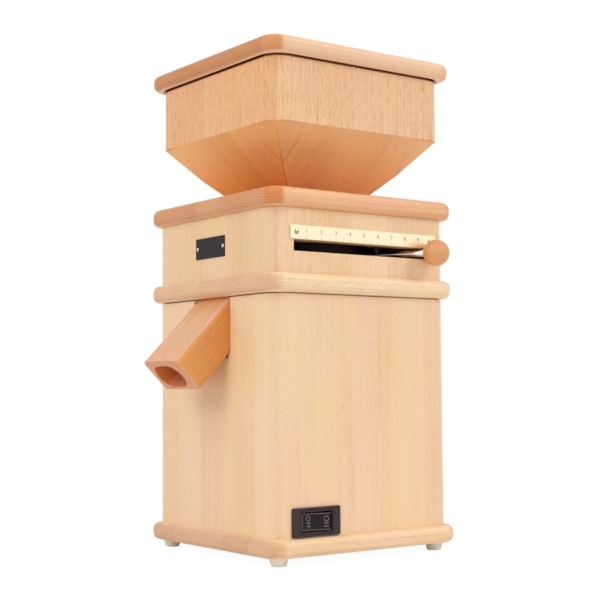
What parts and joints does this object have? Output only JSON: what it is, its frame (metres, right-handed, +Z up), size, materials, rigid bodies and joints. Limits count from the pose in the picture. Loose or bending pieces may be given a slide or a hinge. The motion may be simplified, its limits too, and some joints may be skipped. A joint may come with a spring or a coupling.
{
  "type": "electric grain mill",
  "caption": "Electric stone mill in a square beech casing with a lidded hopper, a fineness lever on a numbered scale, a slanted flour spout and a rocker switch.",
  "frame": {"origin": "on the worktop, on the upright axis of the stones and the motor, midway between the four feet", "axes": "+Z up; -Y is the front, where the spout points; +X is the side with the scale, the lever and the switch"},
  "size_m": [0.2092, 0.2412, 0.41],
  "materials": {
    "beech_board": "clear oiled beech, slightly pinkish, end grain on two sides",
    "beech_casing": "clear oiled beech, upright grain, glued staves",
    "beech_funnel": "clear oiled beech",
    "beech_spout": "clear oiled beech, end grain at the mouth",
    "beech_knob": "clear lacquered beech, turned",
    "foot_rubber": "off-white rubber",
    "zinc_steel": "zinc plated steel",
    "bright_steel": "bright steel",
    "lever_chrome": "polished chrome plated steel",
    "scale_brass": "satin brass with printed numbers",
    "plate_black": "satin black, bare",
    "cast_aluminium": "turned cast aluminium",
    "black_oxide": "turned steel with a black oxide finish",
    "mill_stone": null,
    "seal_felt": "pressed wool felt",
    "core_steel": "stacked electrical sheet",
    "winding_copper": "lacquered copper wire",
    "drum_paint": "dark grey paint",
    "fan_plastic": "black moulded plastic",
    "capacitor_plastic": "off-white plastic can",
    "block_plastic": "white moulded plastic",
    "wire_plastic": "brown wire insulation",
    "gland_plastic": "black moulded plastic",
    "switch_plastic": "brown-black moulded plastic",
    "rocker_plastic": "glossy black plastic with printed words ON and OFF",
    "terminal_brass": "bare brass blades"
  },
  "bodies": {
    "mill": {"base_plate": "beech_board", "collar": "beech_board", "top_plate": "beech_board", "lower_casing": "beech_casing", "upper_casing": "beech_casing", "hopper_box": "beech_casing", "hopper_funnel": "beech_funnel", "spout": "beech_spout", "upper_dowels": "beech_casing", "feet": "foot_rubber", "foot_screws": "zinc_steel", "collar_screws": "zinc_steel", "spout_screws": "zinc_steel", "scale_plate": "scale_brass", "scale_screws": "bright_steel", "name_plate": "plate_black", "name_plate_pins": "bright_steel", "ring_retainer": "zinc_steel", "retainer_posts": "zinc_steel", "guide_pins": "bright_steel", "grain_inlet": "bright_steel", "grinding_chamber": "cast_aluminium", "shaft_seal": "seal_felt", "stator_core": "core_steel", "stator_windings": "winding_copper", "motor_drum": "drum_paint", "motor_top_shield": "cast_aluminium", "motor_bottom_shield": "cast_aluminium", "upper_bearing": "bright_steel", "lower_bearing": "bright_steel", "fan_cover": "drum_paint", "motor_bolts": "zinc_steel", "motor_nuts": "zinc_steel", "spacer_sleeves": "zinc_steel", "capacitor": "capacitor_plastic", "capacitor_clip": "zinc_steel", "terminal_block": "block_plastic", "inner_wires": "wire_plastic", "cord_gland": "gland_plastic", "gland_nut": "gland_plastic", "switch_housing": "switch_plastic", "switch_terminals": "terminal_brass"},
    "lid": {"lid_panel": "beech_board", "lid_insert": "beech_board"},
    "lever": {"lever_rod": "lever_chrome", "lever_knob": "beech_knob", "adjusting_ring": "black_oxide"},
    "carrier": {"stone_carrier": "cast_aluminium", "upper_stone": "mill_stone", "carrier_springs": "bright_steel"},
    "runner": {"motor_shaft": "bright_steel", "rotor_core": "core_steel", "cooling_fan": "fan_plastic", "stone_hub": "cast_aluminium", "hub_key": "zinc_steel", "hub_bolt": "zinc_steel", "hub_washer": "zinc_steel", "lower_stone": "mill_stone", "flour_wipers": "bright_steel"},
    "rocker": {"switch_rocker": "rocker_plastic"}
  },
  "joints": [
    {"name": "shaft_spin", "type": "hinge", "parent": "mill", "child": "runner", "pos_m": [0, 0, 0.1], "axis": [0, 0, 1], "continuous": true},
    {"name": "lever_swing", "type": "hinge", "parent": "mill", "child": "lever", "pos_m": [0, 0, 0.2463], "axis": [0, 0, 1], "range_deg": [-65.2, 0]},
    {"name": "stone_lift", "type": "slide", "parent": "mill", "child": "carrier", "axis": [0, 0, 1], "range_m": [-0.00055, 0], "deforming": ["carrier_springs"]},
    {"name": "rocker_tip", "type": "hinge", "parent": "mill", "child": "rocker", "pos_m": [0.084, -0.05185, 0.03285], "axis": [0, 0, 1], "range_deg": [0, 18]},
    {"name": "lid_lift", "type": "slide", "parent": "mill", "child": "lid", "axis": [0, 0, 1], "range_m": [0, 0.08]}
  ],
  "couplings": [
    {"joint": "stone_lift", "follows": "lever_swing", "m_per_rad": 0.00047746}
  ]
}
